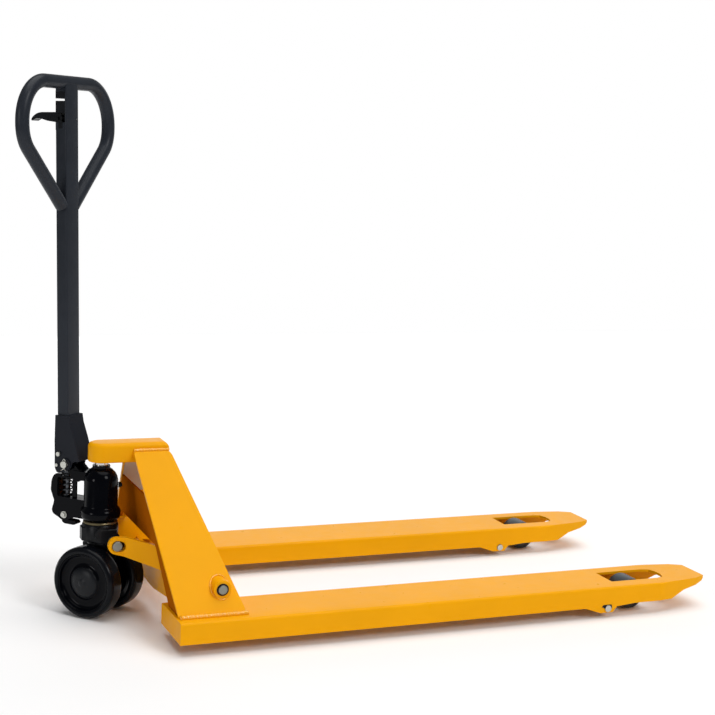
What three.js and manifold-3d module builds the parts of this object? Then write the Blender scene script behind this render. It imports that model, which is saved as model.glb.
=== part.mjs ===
// Hand pallet truck. Millimetres, +Z up, floor at Z = 0, forks along +X.
// Built on a drawing origin on the centreline just behind the fork heels, then
// shifted along X so that the origin lands under the middle of the whole truck.
// The steering head (pump, axle, handle) is drawn in its own frame, centred on
// the kingpin with +X pointing where the head points, and turned to its rest angle.

import * as THREE from 'three';
import { mergeVertices } from 'three/addons/utils/BufferGeometryUtils.js';
import Module from 'manifold-3d';

const wasm = await Module();
wasm.setup();

// Overall layout
const ORIGIN_SHIFT_X = -536.31;
const GAP = 0.3;

// Forks
const FORK_Y = 267.2;
const FORK_W = 151.6;
const FORK_TOP = 72.5;
const FORK_BOTTOM = 25.7;
const FORK_SHEET = 6;
const HEEL_X = 28;
const TIP_X = 1338;
const TAPER_X = 1196;
const TIP_HALF_W = 50;
const WINDOW_X0 = 1086;
const WINDOW_X1 = 1238;
const WINDOW_HALF_W = 36;

// Load roller leg inside each fork
const LEG_PIVOT = [1054, 22];
const LEG_PIN_R = 8;
const ROLLER_AXLE = [1147, 35.9];
const ROLLER_R = 35.8;
const ROLLER_HALF_W = 27;
const ROLLER_AXLE_R = 8;
const LEG_ROD_PIN = [1035.8, 45.9];
const LEG_ROD_PIN_R = 6;

// Tower side plates
const TOWER_FOOT_Y = 312;
const TOWER_HEAD_Y = 40;
const TOWER_HEAD_Z = 370;
const TOWER_PLATE = 8;
const TOWER_FOOT_X = [33, 182];
const TOWER_HEAD_X = [-2.6, 81];
const PANEL_TOP_Z = 287;
const BOSS_R = 20;

// Crosshead
const HEAD_TOP = 384.5;
const HEAD_BOTTOM = 341;
const HEAD_HALF_W = 30;
const HEAD_FRONT_X = 81;

// Steering head
const KINGPIN_X = -64.7;
const STEER_REST_DEG = -48.2;
const WHEEL_R = 80;
const WHEEL_INNER_B = 21;
const WHEEL_OUTER_B = 66;
const AXLE_R = 10;
const STEM_R = 18;
const BLOCK_R = 40;
const BLOCK_Z = [166, 205.5];
const STUB_X = 18.2;
const STUB_Z = 172.5;
const STUB_R = 11;
const STUB_END_Y = 93;

// Rocker
const ROCKER_PIVOT = [133, 121];
const ROCKER_TUBE_R = 24;
const ROCKER_TUBE_END_Y = 226;
const ROCKER_PIN_R = 10;
const ROCKER_ARM_T = 12;
const ROCKER_LUG_Y = [213, 223];
const ROCKER_ROD_PIN = [114.9, 55.8];
const ROCKER_ROD_PIN_R = 6;
const STUB_SLOT = [7.2, -2];
const REAR_EYE_PLAY = 2.5;
const FRONT_EYE_PLAY = 6.2;

// Pump
const RAM_R = 15;
const PUMP_R = 37.5;
const PUMP_BASE_Z = 211.6;
const PUMP_TOP_Z = 336;
const CAST_HALF_B = 20;
const PLUNGER_A = -90;
const PLUNGER_TOP_Z = 315.3;

// Handle
const PIVOT_A = -78;
const PIVOT_Z = 331;
const HANDLE_LEAN_DEG = 1.57;
const HANDLE_PIN_R = 8;
const POST_P = -10;
const POST_DEPTH = 29;
const POST_WIDTH = 44;
const POST_WALL = 3;
const BAR_H = 837;
const LOOP_R = 14.75;
const LOOP_HALF_W = 153;
const BAR_HALF_L = 78;

// Paint and metal
const YELLOW = { color: 0xf2a818, roughness: 0.35, metalness: 0.0 };
const CHARCOAL = { color: 0x25282c, roughness: 0.45, metalness: 0.1 };
const PUMP_BLACK = { color: 0x15171a, roughness: 0.4, metalness: 0.2 };
const WHEEL_BLACK = { color: 0x101214, roughness: 0.3, metalness: 0.0 };
const STEEL = { color: 0xb4b6b2, roughness: 0.35, metalness: 0.9 };
const SPRING_STEEL = { color: 0x34363a, roughness: 0.5, metalness: 0.7 };
const BRASS = { color: 0xa8924a, roughness: 0.4, metalness: 0.8 };
const ROLLER_GREY = { color: 0x3a4145, roughness: 0.45, metalness: 0.1 };
const LEVER_BLACK = { color: 0x1c1f22, roughness: 0.4, metalness: 0.0 };

const root = new THREE.Group();
root.name = 'pallet_truck';

// ---- solids ----

function toSolid(geometry) {
  const bare = new THREE.BufferGeometry();
  bare.setAttribute('position', geometry.getAttribute('position').clone());
  if (geometry.index) bare.setIndex(geometry.index.clone());
  const merged = mergeVertices(bare, 1e-4);
  const pos = Float32Array.from(merged.getAttribute('position').array);
  const tri = Uint32Array.from(merged.index.array);
  let volume = 0;
  for (let i = 0; i < tri.length; i += 3) {
    const a = new THREE.Vector3().fromArray(pos, tri[i] * 3);
    const b = new THREE.Vector3().fromArray(pos, tri[i + 1] * 3);
    const c = new THREE.Vector3().fromArray(pos, tri[i + 2] * 3);
    volume += a.dot(b.cross(c));
  }
  if (volume < 0) {
    for (let i = 0; i < tri.length; i += 3) {
      const swap = tri[i + 1];
      tri[i + 1] = tri[i + 2];
      tri[i + 2] = swap;
    }
  }
  return new wasm.Manifold(new wasm.Mesh({ numProp: 3, vertProperties: pos, triVerts: tri }));
}

function unite(...parts) {
  return parts.reduce((sum, part) => sum.add(part));
}

function cut(body, ...tools) {
  return tools.reduce((rest, tool) => rest.subtract(tool), body);
}

function addNode(parent, name, solid, look) {
  const mesh = solid.getMesh();
  const geometry = new THREE.BufferGeometry();
  geometry.setAttribute('position', new THREE.Float32BufferAttribute(mesh.vertProperties, 3));
  geometry.setIndex(Array.from(mesh.triVerts));
  const flat = geometry.toNonIndexed();
  flat.computeVertexNormals();
  const node = new THREE.Mesh(flat, new THREE.MeshStandardMaterial(look));
  node.name = name;
  parent.add(node);
}

function outline(points) {
  return new THREE.Shape(points.map(([x, y]) => new THREE.Vector2(x, y)));
}

// Outline with every corner rounded by radius r, or by the point's own third value.
function rounded(points, r) {
  const shape = new THREE.Shape();
  points.forEach((point, i) => {
    const corner = new THREE.Vector2(point[0], point[1]);
    const before = points[(i + points.length - 1) % points.length];
    const after = points[(i + 1) % points.length];
    const radius = point.length > 2 ? point[2] : r;
    const back = new THREE.Vector2(before[0], before[1]).sub(corner);
    const ahead = new THREE.Vector2(after[0], after[1]).sub(corner);
    const start = corner.clone().add(back.clone().setLength(Math.min(radius, back.length() * 0.45)));
    const end = corner.clone().add(ahead.clone().setLength(Math.min(radius, ahead.length() * 0.45)));
    if (i === 0) shape.moveTo(start.x, start.y);
    else shape.lineTo(start.x, start.y);
    shape.quadraticCurveTo(corner.x, corner.y, end.x, end.y);
  });
  shape.closePath();
  return shape;
}

function extrude(shape, depth, steps) {
  return new THREE.ExtrudeGeometry(shape, { depth, bevelEnabled: false, curveSegments: steps });
}

// Plan outline (x, y) raised from z0 to z1.
function prismZ(shape, z0, z1, steps = 2) {
  return toSolid(extrude(shape, z1 - z0, steps).translate(0, 0, z0));
}

// Side outline (x, z) carried from y0 to y1.
function prismY(shape, y0, y1, steps = 2) {
  return toSolid(extrude(shape, y1 - y0, steps).rotateX(Math.PI / 2).translate(0, y1, 0));
}

// End outline (y, z) carried from x0 to x1.
function prismX(shape, x0, x1, steps = 2) {
  const turn = new THREE.Matrix4().makeBasis(
    new THREE.Vector3(0, 1, 0),
    new THREE.Vector3(0, 0, 1),
    new THREE.Vector3(1, 0, 0),
  );
  return toSolid(extrude(shape, x1 - x0, steps).applyMatrix4(turn).translate(x0, 0, 0));
}

function box(x0, x1, y0, y1, z0, z1) {
  return prismZ(outline([[x0, y0], [x1, y0], [x1, y1], [x0, y1]]), z0, z1);
}

function cylinderY(r, x, z, y0, y1, sides = 24) {
  const g = new THREE.CylinderGeometry(r, r, y1 - y0, sides);
  return toSolid(g.translate(x, (y0 + y1) / 2, z));
}

function cylinderZ(r, x, y, z0, z1, sides = 24) {
  const g = new THREE.CylinderGeometry(r, r, z1 - z0, sides).rotateX(Math.PI / 2);
  return toSolid(g.translate(x, y, (z0 + z1) / 2));
}

function cylinderX(r, y, z, x0, x1, sides = 24) {
  const g = new THREE.CylinderGeometry(r, r, x1 - x0, sides).rotateZ(Math.PI / 2);
  return toSolid(g.translate((x0 + x1) / 2, y, z));
}

function lathe(profile, sides) {
  return new THREE.LatheGeometry(profile.map(([r, z]) => new THREE.Vector2(r, z)), sides);
}

// Profile (r, z) turned about a vertical line through (x, y).
function turnedZ(profile, x, y, sides = 36) {
  return toSolid(lathe(profile, sides).rotateX(Math.PI / 2).translate(x, y, 0));
}

// Profile (r, y) turned about a line along Y through (x, z).
function turnedY(profile, x, z, sides = 36) {
  return toSolid(lathe(profile, sides).translate(x, 0, z));
}

// Flat link between two eyes, in the (x, z) plane.
function linkShape(from, rFrom, to, rTo) {
  const dir = Math.atan2(to[1] - from[1], to[0] - from[0]);
  const dist = Math.hypot(to[0] - from[0], to[1] - from[1]);
  const lean = Math.acos((rFrom - rTo) / dist);
  const shape = new THREE.Shape();
  shape.absarc(from[0], from[1], rFrom, dir + lean, dir - lean + Math.PI * 2, false);
  shape.absarc(to[0], to[1], rTo, dir - lean, dir + lean, false);
  shape.closePath();
  return shape;
}

function link(from, rFrom, to, rTo, y0, y1) {
  return prismY(linkShape(from, rFrom, to, rTo), y0, y1, 4);
}

// ---- forks ----

function buildFork(side) {
  const half = FORK_W / 2;
  const plan = [
    [HEEL_X, -half], [TAPER_X, -half], [TIP_X - 30, -TIP_HALF_W - 9], [TIP_X, -TIP_HALF_W + 6],
    [TIP_X, TIP_HALF_W - 6], [TIP_X - 30, TIP_HALF_W + 9], [TAPER_X, half], [HEEL_X, half],
  ];
  const s = FORK_SHEET;
  const planInner = [
    [HEEL_X + s, -half + s], [TAPER_X - 1, -half + s], [TIP_X - 33, -TIP_HALF_W - 3],
    [TIP_X - 14, -TIP_HALF_W + 12], [TIP_X - 14, TIP_HALF_W - 12], [TIP_X - 33, TIP_HALF_W + 3],
    [TAPER_X - 1, half - s], [HEEL_X + s, half - s],
  ];
  const side0 = [
    [HEEL_X, FORK_BOTTOM], [1088, FORK_BOTTOM], [1126, 29.5], [1234, 29.5], [1270, 47],
    [TIP_X - 6, 60], [TIP_X, 65], [TIP_X, FORK_TOP], [HEEL_X, FORK_TOP],
  ];
  const end = rounded([[-half, 0, 0.1], [half, 0, 0.1], [half, FORK_TOP, 7], [-half, FORK_TOP, 7]], 7);
  let shell = prismZ(outline(plan), FORK_BOTTOM - 1, FORK_TOP + 1);
  shell = shell.intersect(prismY(outline(side0), -half - 1, half + 1));
  shell = shell.intersect(prismX(end, HEEL_X - 1, TIP_X + 1, 4));
  shell = shell.subtract(prismZ(outline(planInner), FORK_BOTTOM - 5, FORK_TOP - s));

  const ear = outline([[991, 27], [1035, 12], [1068, 12], [1081, 27]]);
  shell = shell.add(prismY(ear, -half, -half + s)).add(prismY(ear, half - s, half));

  const windowShape = rounded([
    [WINDOW_X0, -WINDOW_HALF_W, 3], [WINDOW_X1, -WINDOW_HALF_W, 26],
    [WINDOW_X1, WINDOW_HALF_W, 26], [WINDOW_X0, WINDOW_HALF_W, 3],
  ], 3);
  const heelHole = [[42, -42], [80, -42], [80, 30], [42, 30]];
  const lugSlot = [[100, -34], [170, -34], [170, -66], [100, -66]];
  shell = cut(
    shell,
    prismZ(windowShape, FORK_TOP - s - 4, FORK_TOP + 4),
    prismZ(outline(heelHole), FORK_TOP - s - 4, FORK_TOP + 4),
    prismZ(outline(lugSlot), FORK_TOP - s - 4, FORK_TOP + 4),
    cylinderY(LEG_PIN_R + GAP, LEG_PIVOT[0], LEG_PIVOT[1], -half - 2, half + 2, 24),
  );
  shell = shell.translate([0, FORK_Y, 0]);
  return side > 0 ? shell : shell.mirror([0, 1, 0]);
}

// ---- load roller leg ----

function buildLeg(side) {
  const y = side * FORK_Y;
  const plateIn = ROLLER_HALF_W + 1.5;
  const plateOut = plateIn + 7;
  const plates = [-1, 1].map((s) => {
    const y0 = s < 0 ? -plateOut : plateIn;
    const long = link(LEG_PIVOT, 14, ROLLER_AXLE, 14, y0, y0 + 7);
    const short = link(LEG_PIVOT, 14, LEG_ROD_PIN, 11, y0, y0 + 7);
    return long.add(short);
  });
  const hub = cylinderY(13, LEG_PIVOT[0], LEG_PIVOT[1], -plateOut, plateOut, 20);
  const rodPin = cylinderY(LEG_ROD_PIN_R, LEG_ROD_PIN[0], LEG_ROD_PIN[1], -plateOut + 1, plateOut - 1, 16);
  let leg = unite(plates[0], plates[1], hub, rodPin);
  leg = cut(
    leg,
    cylinderY(LEG_PIN_R + GAP, LEG_PIVOT[0], LEG_PIVOT[1], -60, 60, 20),
    cylinderY(ROLLER_AXLE_R + GAP, ROLLER_AXLE[0], ROLLER_AXLE[1], -60, 60, 20),
  );
  return leg.translate([0, y, 0]);
}

function buildLegPin(side) {
  const half = FORK_W / 2;
  const shank = cylinderY(LEG_PIN_R, LEG_PIVOT[0], LEG_PIVOT[1], -half - 3, half + 3, 24);
  const bore = cylinderX(1.2, side * (half + 1.6), LEG_PIVOT[1], LEG_PIVOT[0] - 12, LEG_PIVOT[0] + 12, 8);
  return shank.subtract(bore).translate([0, side * FORK_Y, 0]);
}

function buildRoller(side) {
  const w = ROLLER_HALF_W;
  const r = ROLLER_R;
  const bore = ROLLER_AXLE_R + GAP;
  const profile = [
    [bore, -w], [16, -w], [17, -w + 2], [r - 6, -w + 2], [r - 2, -w], [r, -w + 2],
    [r, w - 2], [r - 2, w], [r - 6, w - 2], [17, w - 2], [16, w], [bore, w], [bore, -w],
  ];
  return turnedY(profile, ROLLER_AXLE[0], ROLLER_AXLE[1], 28).translate([0, side * FORK_Y, 0]);
}

function buildRollerAxle(side) {
  const l = ROLLER_HALF_W + 11.5;
  return cylinderY(ROLLER_AXLE_R, ROLLER_AXLE[0], ROLLER_AXLE[1], -l, l, 24)
    .translate([0, side * FORK_Y, 0]);
}

// Bar from the rocker lug to the leg, with an upright slotted eye at each end.
function buildPushRod(side) {
  const yRear = side * (ROCKER_LUG_Y[1] + 7);
  const yFront = side * FORK_Y;
  const [x0, z0] = ROCKER_ROD_PIN;
  const [x1, z1] = LEG_ROD_PIN;
  const from = new THREE.Vector3(x0 + 9.5, yRear, z0 - 2);
  const to = new THREE.Vector3(x1 - 9.5, yFront, z1 + 1);
  const extrudePath = new THREE.LineCurve3(from, to);
  const section = rounded([[-7, -7], [7, -7], [7, 7], [-7, 7]], 4);
  const bar = toSolid(new THREE.ExtrudeGeometry(section, { steps: 1, curveSegments: 2, extrudePath }));
  const rearEye = cylinderY(11.5, x0, z0 - 1.2, yRear - 5, yRear + 5, 20);
  const frontEye = cylinderY(12.8, x1, z1 + 3, yFront - 9, yFront + 9, 20);
  const rearR = ROCKER_ROD_PIN_R + 0.7;
  const frontR = LEG_ROD_PIN_R + 0.9;
  return cut(
    unite(bar, rearEye, frontEye),
    link([x0, z0 - REAR_EYE_PLAY], rearR, [x0, z0], rearR, yRear - 12, yRear + 12),
    link([x1, z1], frontR, [x1, z1 + FRONT_EYE_PLAY], frontR, yFront - 12, yFront + 12),
  );
}

// ---- tower ----

const TOWER_SLOPE = (TOWER_FOOT_Y - TOWER_HEAD_Y) / (TOWER_HEAD_Z - FORK_TOP);

function shearY(solid, slope, z0) {
  return solid.transform([1, 0, 0, 0, 0, 1, 0, 0, 0, slope, 1, 0, 0, -slope * z0, 0, 1]);
}

function buildTowerPlate(side) {
  const thick = TOWER_PLATE * Math.hypot(1, TOWER_SLOPE);
  const z0 = FORK_TOP + GAP;
  const shape = rounded([
    [TOWER_FOOT_X[0], z0, 1], [TOWER_FOOT_X[1], z0, 1],
    [TOWER_HEAD_X[1], TOWER_HEAD_Z, 8], [TOWER_HEAD_X[0], TOWER_HEAD_Z, 5],
  ], 1);
  // Near side: outer face on -Y, leaning towards the centreline as it rises.
  let plate = prismY(shape, 0, thick);
  plate = shearY(plate, TOWER_SLOPE, FORK_TOP).translate([0, -TOWER_FOOT_Y, 0]);
  const w = HEAD_HALF_W + GAP;
  plate = cut(
    plate,
    box(-200, 200, -w, 200, 330, 420),
    cylinderY(BOSS_R + GAP, ROCKER_PIVOT[0], ROCKER_PIVOT[1], -330, -200, 32),
  );
  return side < 0 ? plate : plate.mirror([0, 1, 0]);
}

function buildTowerBoss(side) {
  const y0 = -288;
  const y1 = -ROCKER_TUBE_END_Y - 1;
  const boss = cylinderY(BOSS_R, ROCKER_PIVOT[0], ROCKER_PIVOT[1], y0, y1, 32)
    .subtract(cylinderY(ROCKER_PIN_R + GAP, ROCKER_PIVOT[0], ROCKER_PIVOT[1], y0 - 5, y1 + 5, 24));
  return side < 0 ? boss : boss.mirror([0, 1, 0]);
}

function buildRockerPin(side) {
  const [x, z] = ROCKER_PIVOT;
  const pin = cylinderY(ROCKER_PIN_R, x, z, -292, -196, 24);
  return side < 0 ? pin : pin.mirror([0, 1, 0]);
}

// Sheet between the rear edges of the two side plates, arched to clear the rocker.
function buildCrossPanel() {
  const z0 = FORK_TOP + GAP;
  const z1 = PANEL_TOP_Z;
  const lean = (TOWER_HEAD_X[0] - TOWER_FOOT_X[0]) / (TOWER_HEAD_Z - FORK_TOP);
  const inset = TOWER_PLATE * Math.hypot(1, TOWER_SLOPE) + 0.6;
  const yAt = (z) => TOWER_FOOT_Y - TOWER_SLOPE * (z - FORK_TOP) - inset;
  const shape = outline([
    [-226, z0], [-160, 182], [-150, 189], [150, 189], [160, 182], [226, z0],
    [yAt(z0), z0], [yAt(z1), z1], [-yAt(z1), z1], [-yAt(z0), z0],
  ]);
  const sheet = prismX(shape, 1, 6);
  const shift = TOWER_FOOT_X[0] - lean * FORK_TOP;
  return sheet.transform([1, 0, 0, 0, 0, 1, 0, 0, lean, 0, 1, 0, shift, 0, 0, 1]);
}

function buildCrosshead() {
  const nose = new THREE.Shape();
  nose.moveTo(HEAD_FRONT_X, -HEAD_HALF_W);
  nose.lineTo(HEAD_FRONT_X, HEAD_HALF_W);
  nose.absarc(KINGPIN_X, 0, HEAD_HALF_W, Math.PI / 2, Math.PI * 1.5, false);
  nose.closePath();
  const w = HEAD_HALF_W - 7;
  const hollow = new THREE.Shape();
  hollow.moveTo(HEAD_FRONT_X - 10, -w);
  hollow.lineTo(HEAD_FRONT_X - 10, w);
  hollow.absarc(KINGPIN_X, 0, w, Math.PI / 2, Math.PI * 1.5, false);
  hollow.closePath();
  const side = outline([
    [-140, HEAD_BOTTOM], [HEAD_FRONT_X, HEAD_BOTTOM], [HEAD_FRONT_X, 365], [78, 375], [70, 381.5],
    [59, HEAD_TOP], [-140, HEAD_TOP],
  ]);
  let head = prismZ(nose, HEAD_BOTTOM - 1, HEAD_TOP + 1, 16);
  head = head.intersect(prismY(side, -60, 60));
  head = head.subtract(prismZ(hollow, HEAD_BOTTOM - 5, HEAD_TOP - 20, 12));
  return head;
}

function buildRam() {
  const profile = [
    [0, 236], [RAM_R, 236], [RAM_R, 337.5], [14, 337.5], [14, 344], [18, 344], [18, HEAD_TOP - 20 - GAP],
    [0, HEAD_TOP - 20 - GAP],
  ];
  return turnedZ(profile, KINGPIN_X, 0, 32);
}

// ---- base block and rocker ----

function buildBaseBlock() {
  const bore = STEM_R + GAP;
  const ring = turnedZ([
    [bore, BLOCK_Z[0]], [34, BLOCK_Z[0]], [BLOCK_R, BLOCK_Z[0] + 6], [BLOCK_R, BLOCK_Z[1] - 3],
    [BLOCK_R - 2, BLOCK_Z[1]], [bore, BLOCK_Z[1]], [bore, BLOCK_Z[0]],
  ], 0, 0, 32);
  const cheeks = [-1, 1].map((s) => {
    const y0 = s < 0 ? -46 : 34;
    return link([STUB_X, STUB_Z + 4], 17, [-6, STUB_Z + 16], 15, y0, y0 + 12);
  });
  const clear = cylinderZ(bore, 0, 0, 150, 230, 32);
  const stubs = [-1, 1].map((s) => {
    const y0 = s < 0 ? -50 : 28;
    return cylinderY(STUB_R + GAP, STUB_X, STUB_Z, y0, y0 + 22, 24);
  });
  const body = unite(ring, ...cheeks);
  const trimmed = body.intersect(cylinderZ(70, 0, 0, BLOCK_Z[0] - 4.5, BLOCK_Z[1], 24));
  return cut(trimmed, clear, ...stubs).translate([KINGPIN_X, 0, 0]);
}

function buildStub(side) {
  const inner = 30;
  const y0 = side < 0 ? -STUB_END_Y : inner;
  const y1 = side < 0 ? -inner : STUB_END_Y;
  return cylinderY(STUB_R, STUB_X, STUB_Z, y0, y1, 28).translate([KINGPIN_X, 0, 0]);
}

function buildThrustRing() {
  const z0 = BLOCK_Z[1] + GAP;
  const z1 = PUMP_BASE_Z - GAP;
  const profile = [
    [STEM_R + GAP, z0], [37, z0], [38.5, (z0 + z1) / 2], [37, z1], [STEM_R + GAP, z1], [STEM_R + GAP, z0],
  ];
  return turnedZ(profile, KINGPIN_X, 0, 32);
}

// One splayed side arm of the rocker, from its eye on the stub pin to the cross tube.
function rockerArm() {
  const [px, pz] = ROCKER_PIVOT;
  const eyeX = KINGPIN_X + STUB_X;
  const yEye = -88;
  const yEnd = -ROCKER_TUBE_END_Y + 8;
  const slope = (yEnd - yEye) / (px - (eyeX + 16));
  const shape = new THREE.Shape();
  shape.absarc(eyeX, STUB_Z, 19, Math.PI * 0.42, Math.PI * 1.42, false);
  shape.lineTo(eyeX + 70, STUB_Z - 40);
  shape.lineTo(px - 4, pz - ROCKER_TUBE_R + 1);
  shape.lineTo(px - 4, pz + ROCKER_TUBE_R - 1);
  shape.lineTo(eyeX + 74, STUB_Z + 9);
  shape.lineTo(eyeX + 22, STUB_Z + 18);
  shape.closePath();
  const t = ROCKER_ARM_T * Math.hypot(1, slope);
  const flat = prismY(shape, yEye, yEye + ROCKER_ARM_T, 12);
  const front = prismY(shape, yEye, yEye + t, 12);
  // The eye stays square to its pin; the rest of the arm splays outwards.
  const bend = eyeX + 16;
  const eye = flat.intersect(box(eyeX - 40, bend + 6, -140, -40, 100, 220));
  const splay = front.intersect(box(bend, px + 20, -140, -40, 60, 220));
  const leaned = splay.transform([1, slope, 0, 0, 0, 1, 0, 0, 0, 0, 1, 0, 0, -slope * bend, 0, 1]);
  return eye.add(leaned);
}

function buildRocker() {
  const [px, pz] = ROCKER_PIVOT;
  const arm = rockerArm();
  const farArm = arm.mirror([0, 1, 0]);
  const end = ROCKER_TUBE_END_Y;
  const tube = cylinderY(ROCKER_TUBE_R, px, pz, -end, end, 28);
  const web = prismX(outline([
    [-152, 128], [-152, 67], [-24, 51], [24, 51], [152, 67], [152, 128],
  ]), 54, 62);
  const lugs = [-1, 1].map((s) => {
    const y0 = s < 0 ? -ROCKER_LUG_Y[1] : ROCKER_LUG_Y[0];
    return link(ROCKER_PIVOT, 20, ROCKER_ROD_PIN, 11, y0, y0 + 10);
  });
  const pins = [-1, 1].map((s) => {
    const y0 = s < 0 ? -ROCKER_LUG_Y[1] - 12 : ROCKER_LUG_Y[0];
    return cylinderY(ROCKER_ROD_PIN_R, ROCKER_ROD_PIN[0], ROCKER_ROD_PIN[1], y0, y0 + 22, 20);
  });
  const body = unite(arm, farArm, tube, web, ...lugs, ...pins);
  const eyeX = KINGPIN_X + STUB_X;
  const eyeR = STUB_R + 0.9;
  const slotEnd = [eyeX + STUB_SLOT[0], STUB_Z + STUB_SLOT[1]];
  return cut(
    body,
    ...[-110, 60].map((y0) => link([eyeX, STUB_Z], eyeR, slotEnd, eyeR, y0, y0 + 50)),
    cylinderY(ROCKER_PIN_R + GAP, px, pz, -300, 300, 24),
  );
}

// ---- steering head, in its own frame ----

function buildAxleCarrier() {
  const yoke = prismY(rounded([[-24, 62, 14], [24, 62, 14], [30, 120, 10], [34, 161, 4], [-34, 161, 4],
    [-30, 120, 10]], 6), -18, 18, 4);
  const head = cylinderZ(29, 0, 0, 160, BLOCK_Z[0] - GAP, 28);
  const stem = cylinderZ(STEM_R, 0, 0, 160, PUMP_BASE_Z - GAP, 32);
  return cut(unite(yoke, head, stem), cylinderY(AXLE_R + GAP, 0, WHEEL_R, -40, 40, 24));
}

function buildAxle() {
  const l = WHEEL_OUTER_B - 8;
  return cylinderY(AXLE_R, 0, WHEEL_R, -l, l, 28);
}

// Wheel profiles are drawn for the near wheel: outer face at -b.
function wheelAt(side, profile, sides) {
  const solid = turnedY(profile.map(([r, b]) => [r, -b]), 0, WHEEL_R, sides);
  return side < 0 ? solid : solid.mirror([0, 1, 0]);
}

function buildTyre(side) {
  const o = WHEEL_OUTER_B;
  const i = WHEEL_INNER_B;
  return wheelAt(side, [
    [63, o - 1], [66, o], [72, o], [75, o - 1.5], [78, o - 5], [WHEEL_R, o - 11], [WHEEL_R, i + 7],
    [77, i + 2], [72, i], [63, i], [63, o - 1],
  ], 32);
}

function buildWheelCentre(side) {
  const o = WHEEL_OUTER_B;
  const i = WHEEL_INNER_B;
  return wheelAt(side, [
    [22, i], [22, o - 8], [36, o - 8], [40, o - 7], [42, o - 12], [57, o - 12], [62.7, o - 4],
    [62.7, i + 4], [54, i + 10], [34, i + 10], [30, i], [22, i],
  ], 32);
}

function buildBearing(side) {
  const i = WHEEL_INNER_B;
  return wheelAt(side, [
    [AXLE_R + GAP, i + 1], [21.7, i + 1], [21.7, i + 32], [AXLE_R + GAP, i + 32], [AXLE_R + GAP, i + 1],
  ], 32);
}

function buildHubCap(side) {
  const o = WHEEL_OUTER_B;
  return wheelAt(side, [
    [0, o], [12, o], [20, o - 0.6], [27, o - 2.2], [30.5, o - 4.5], [31.5, o - 7.7],
    [21, o - 7.7], [19, o - 4.5], [0, o - 4.5],
  ], 28);
}

function buildPumpBody() {
  const barrel = turnedZ([
    [0, PUMP_BASE_Z], [32, PUMP_BASE_Z], [38, 214], [43, 218], [44.5, 222], [44.5, 233], [42, 239],
    [38.5, 242], [PUMP_R, 245], [PUMP_R, 303], [35.5, 312], [31, 320], [24, 327], [19.5, 330], [19.5, PUMP_TOP_Z],
    [RAM_R + GAP, PUMP_TOP_Z], [RAM_R + GAP, 230], [0, 230],
  ], 0, 0, 32);
  const casting = prismY(rounded([
    [-107, 306, 3], [-114, 301, 3], [-120, 290, 5], [-122, 266, 4], [-116, 252, 3], [-112, 243, 3],
    [-118.5, 221, 4], [-115, 213, 3], [-99, 206, 3], [-90, 201, 4], [-77, 202, 4], [-60, 211, 4],
    [-22, PUMP_BASE_Z, 1], [-22, 318, 1], [-64, 318, 3], [-70, 306, 3],
  ], 3), -CAST_HALF_B, CAST_HALF_B, 3);
  const opening = prismY(rounded([[-104, 254], [-12, 254], [-12, 298], [-104, 298]], 5), -60, 60);
  const ears = [-1, 1].map((s) => {
    const y0 = s < 0 ? -18 : 8;
    return link([PIVOT_A, PIVOT_Z], 12.5, [-52, 306], 13, y0, y0 + 10);
  });
  // Trough that the cam roller's pin sinks into at full tilt
  const trough = box(-94.5, -69.5, -60, 60, 301.9, 320);
  const solid = unite(cut(casting, opening, trough), ...ears, barrel);
  return cut(
    solid,
    cylinderZ(RAM_R + GAP, 0, 0, 230, 360, 32),
    cylinderZ(14.6, PLUNGER_A, 0, 222, 330, 32),
    box(-104, -64, -8.5, 8.5, 294, 330),
    cylinderY(HANDLE_PIN_R + GAP, PIVOT_A, PIVOT_Z, -40, 40, 24),
  );
}

function buildPlunger() {
  return turnedZ([
    [0, 250], [6, 250], [6, 307.6], [13.5, 307.6], [13.5, 313.5], [11, PLUNGER_TOP_Z], [0, PLUNGER_TOP_Z],
  ], PLUNGER_A, 0, 28);
}

// Helix with closed flat-looking ends, standing in the plunger cup.
function buildPlungerSpring() {
  const turns = 7;
  const radius = 10.6;
  const wire = 1.7;
  const z0 = 224.5;
  const z1 = 305.6;
  class Helix extends THREE.Curve {
    getPoint(t, target = new THREE.Vector3()) {
      const angle = t * turns * Math.PI * 2;
      return target.set(PLUNGER_A + radius * Math.cos(angle), radius * Math.sin(angle), z0 + (z1 - z0) * t);
    }
  }
  const section = new THREE.Shape();
  section.absarc(0, 0, wire, 0, Math.PI * 2, false);
  const g = new THREE.ExtrudeGeometry(section, {
    steps: turns * 10, curveSegments: 2, bevelEnabled: false, extrudePath: new Helix(),
  });
  return toSolid(g);
}

function buildOilPlug() {
  const plug = cylinderX(6.5, 0, 291, PUMP_R + GAP, PUMP_R + 7, 6);
  const turned = plug.add(cylinderX(4, 0, 291, PUMP_R + GAP, PUMP_R + 9, 16));
  return turned.rotate([0, 0, 36]);
}

function buildReliefPlug(z) {
  const a = z > 270 ? -121.7 : -122.1;
  const hex = cylinderX(7.5, 0, z, a - 5.8, a, 6);
  return hex.add(cylinderX(4.5, 0, z, a - 8, a - 5, 16));
}

function buildReleaseArm() {
  const shape = rounded([
    [-96, 200.5], [-62, 200.5], [-58, 194], [-66, 190], [-92, 190], [-100, 195],
  ], 3);
  return prismY(shape, -9, 9);
}

function buildValveScrew() {
  const y0 = -CAST_HALF_B - GAP;
  return cylinderY(6, -84, 214, y0 - 6, y0, 6).add(cylinderY(8, -84, 214, y0 - 1.5, y0, 20));
}

// ---- handle, in a frame whose origin is the handle pivot ----

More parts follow.
